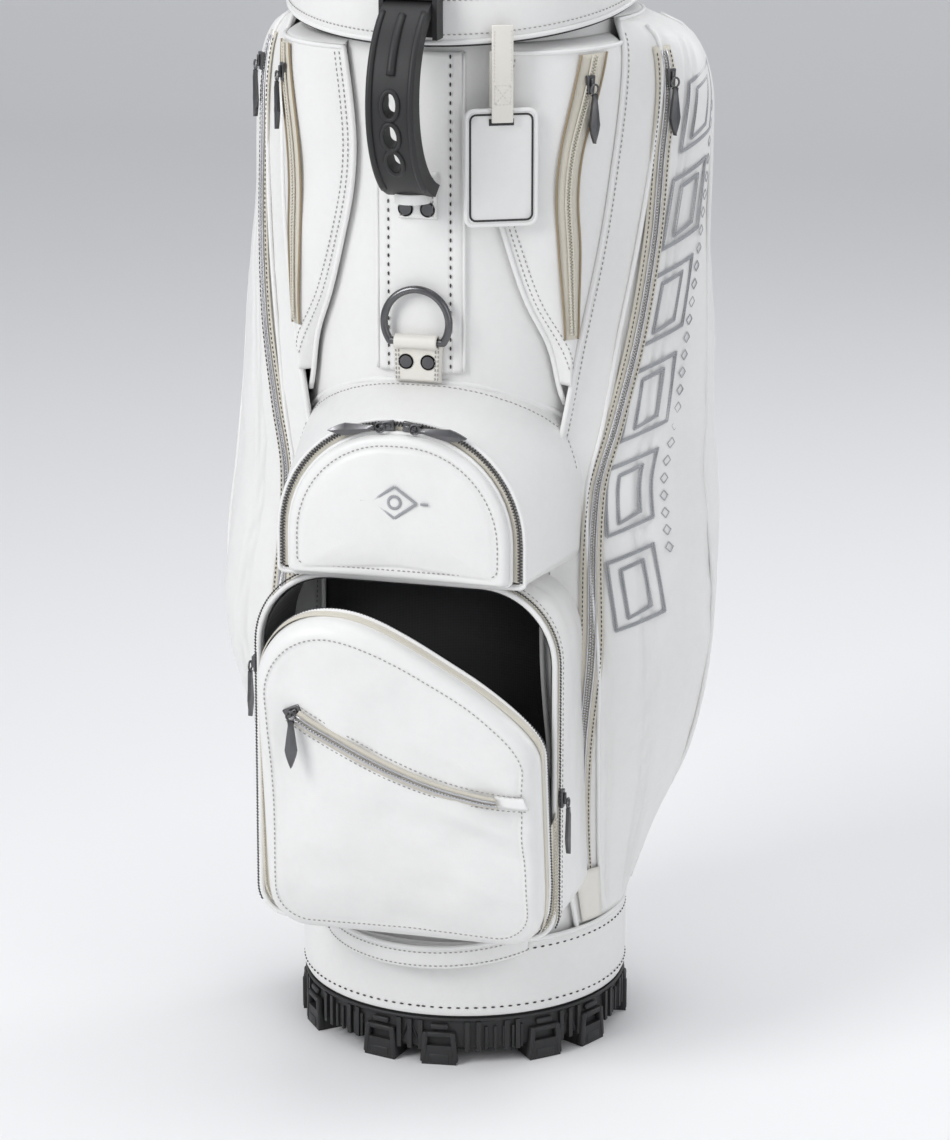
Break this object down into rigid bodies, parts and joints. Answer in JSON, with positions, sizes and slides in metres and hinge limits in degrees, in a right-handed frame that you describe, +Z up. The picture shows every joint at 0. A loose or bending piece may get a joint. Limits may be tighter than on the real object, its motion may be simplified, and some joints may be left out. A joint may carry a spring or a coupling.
{
  "type": "golf staff bag",
  "caption": "Upright golf staff bag with a moulded footed base, zipped side and front pockets, carrying handles and a divided slanted top.",
  "frame": {"origin": "centre of the base's footprint on the floor", "axes": "+Z up along the tube, -Y towards the front with the ball pocket, +X to the right seen from the front"},
  "size_m": [0.3932, 0.3637, 0.882],
  "materials": {
    "white_leather": "smooth satin",
    "black_plastic": "moulded matt",
    "black_rubber": "moulded soft touch",
    "tube_board": "plain",
    "black_fabric": "woven",
    "cream_tape": "woven zip tape with coil teeth",
    "silver_zip": "woven zip tape with silver teeth",
    "grey_thread": "embroidered",
    "gunmetal": "dark polished"
  },
  "bodies": {
    "bag": {"arch_housing": "white_leather", "arch_zip": "cream_tape", "back_pad": "white_leather", "ball_gusset": "white_leather", "ball_lining": "black_fabric", "ball_zip": "cream_tape", "base_cuff": "white_leather", "base_cup": "black_plastic", "base_screws": "gunmetal", "body_skin": "white_leather", "collar_wrap": "white_leather", "core_shell": "tube_board", "cuff_foam": "black_fabric", "divider_front": "black_fabric", "divider_grid": "black_plastic", "divider_long": "black_fabric", "divider_rear": "black_fabric", "floor_pad": "black_rubber", "front_spine": "white_leather", "handle_bracket": "black_plastic", "handle_loop": "white_leather", "left_garment_pocket": "white_leather", "left_garment_zip": "silver_zip", "left_upper_pocket": "white_leather", "left_upper_zip": "cream_tape", "right_garment_pocket": "white_leather", "right_garment_zip": "silver_zip", "right_upper_pocket": "white_leather", "right_upper_zip": "cream_tape", "ring_tab": "white_leather", "side_zip_sliders": "gunmetal", "tab_rivets": "gunmetal", "top_collar": "black_plastic", "upper_handle": "black_rubber", "zip_end_tabs": "white_leather"},
    "ball_flap": {"ball_flap": "white_leather", "flap_zip": "cream_tape", "accessory_zip": "silver_zip", "accessory_end_tab": "white_leather"},
    "arch_panel": {"arch_panel": "white_leather", "embroidered_crest": "grey_thread"},
    "arch_slider_left": {"arch_slider_left": "gunmetal"},
    "arch_pull_left": {"arch_pull_left": "gunmetal"},
    "arch_slider_right": {"arch_slider_right": "gunmetal"},
    "arch_pull_right": {"arch_pull_right": "gunmetal"},
    "ball_slider_left": {"ball_slider_left": "gunmetal"},
    "ball_pull_left": {"ball_pull_left": "gunmetal"},
    "ball_slider_right": {"ball_slider_right": "gunmetal"},
    "ball_pull_right": {"ball_pull_right": "gunmetal"},
    "accessory_slider": {"accessory_slider": "gunmetal"},
    "accessory_pull": {"accessory_pull": "gunmetal"},
    "left_upper_pull": {"left_upper_pull": "gunmetal"},
    "left_garment_pull": {"left_garment_pull": "gunmetal"},
    "right_upper_pull": {"right_upper_pull": "gunmetal"},
    "right_garment_pull": {"right_garment_pull": "gunmetal"},
    "strap_ring": {"strap_ring": "gunmetal"},
    "name_tag": {"name_tag": "white_leather", "tag_strap": "white_leather"},
    "lower_grab_handle": {"lower_grab_handle": "white_leather"}
  },
  "joints": [
    {"name": "ball_flap_fold", "type": "hinge", "parent": "bag", "child": "ball_flap", "pos_m": [0, -0.162, 0.126], "axis": [1, 0, 0], "range_deg": [-8, 45]},
    {"name": "arch_panel_fold", "type": "hinge", "parent": "bag", "child": "arch_panel", "pos_m": [0, -0.179, 0.403], "axis": [1, 0, 0], "range_deg": [0, 75]},
    {"name": "arch_slider_left_travel", "type": "hinge", "parent": "bag", "child": "arch_slider_left", "pos_m": [0, -0.174, 0.428], "axis": [0, -1, 0], "range_deg": [0, 80]},
    {"name": "arch_pull_left_swing", "type": "hinge", "parent": "arch_slider_left", "child": "arch_pull_left", "pos_m": [-0.01031, -0.1796, 0.51851], "axis": [-0.1132, 0, 0.9936], "range_deg": [0, 85]},
    {"name": "arch_slider_right_travel", "type": "hinge", "parent": "bag", "child": "arch_slider_right", "pos_m": [0, -0.174, 0.428], "axis": [0, 1, 0], "range_deg": [0, 80]},
    {"name": "arch_pull_right_swing", "type": "hinge", "parent": "arch_slider_right", "child": "arch_pull_right", "pos_m": [0.01031, -0.1796, 0.51851], "axis": [-0.1132, 0, -0.9936], "range_deg": [0, 85]},
    {"name": "ball_slider_left_travel", "type": "slide", "parent": "bag", "child": "ball_slider_left", "axis": [0, 0, 1], "range_m": [-0.172, 0.015]},
    {"name": "ball_pull_left_swing", "type": "hinge", "parent": "ball_slider_left", "child": "ball_pull_left", "pos_m": [-0.1237, -0.1555, 0.322], "axis": [0, 1, 0], "range_deg": [0, 85]},
    {"name": "ball_slider_right_travel", "type": "slide", "parent": "bag", "child": "ball_slider_right", "axis": [0, 0, 1], "range_m": [-0.086, 0.1]},
    {"name": "ball_pull_right_swing", "type": "hinge", "parent": "ball_slider_right", "child": "ball_pull_right", "pos_m": [0.1237, -0.1555, 0.236], "axis": [0, -1, 0], "range_deg": [0, 85]},
    {"name": "accessory_slider_travel", "type": "hinge", "parent": "ball_flap", "child": "accessory_slider", "pos_m": [0.05, -0.05641, 0.53871], "axis": [0, -0.9903, -0.1392], "range_deg": [0, 36]},
    {"name": "accessory_pull_swing", "type": "hinge", "parent": "accessory_slider", "child": "accessory_pull", "pos_m": [-0.06836, -0.22759, 0.30924], "axis": [-1, 0, 0], "range_deg": [-7, 85]},
    {"name": "left_upper_pull_swing", "type": "hinge", "parent": "bag", "child": "left_upper_pull", "pos_m": [-0.12179, -0.0825, 0.762], "axis": [-0.5608, 0.8279, 0], "range_deg": [0, 85]},
    {"name": "left_garment_pull_swing", "type": "hinge", "parent": "bag", "child": "left_garment_pull", "pos_m": [-0.16481, -0.00644, 0.758], "axis": [-0.5729, 0.8197, 0], "range_deg": [0, 85]},
    {"name": "right_upper_pull_swing", "type": "hinge", "parent": "bag", "child": "right_upper_pull", "pos_m": [0.12179, -0.0825, 0.762], "axis": [-0.5608, -0.8279, 0], "range_deg": [0, 85]},
    {"name": "right_garment_pull_swing", "type": "hinge", "parent": "bag", "child": "right_garment_pull", "pos_m": [0.16481, -0.00644, 0.758], "axis": [-0.5729, -0.8197, 0], "range_deg": [0, 85]},
    {"name": "strap_ring_swing", "type": "hinge", "parent": "bag", "child": "strap_ring", "pos_m": [0, -0.1302, 0.5727], "axis": [1, 0, 0], "range_deg": [0, 150]},
    {"name": "name_tag_swing", "type": "hinge", "parent": "bag", "child": "name_tag", "pos_m": [0.06356, -0.12474, 0.806], "axis": [-0.891, -0.454, 0], "range_deg": [0, 80]},
    {"name": "grab_handle_swing", "type": "hinge", "parent": "bag", "child": "lower_grab_handle", "pos_m": [0, -0.104, 0.098], "axis": [1, 0, 0], "range_deg": [-12, 20], "stiffness_Nm_per_rad": 0.08}
  ]
}
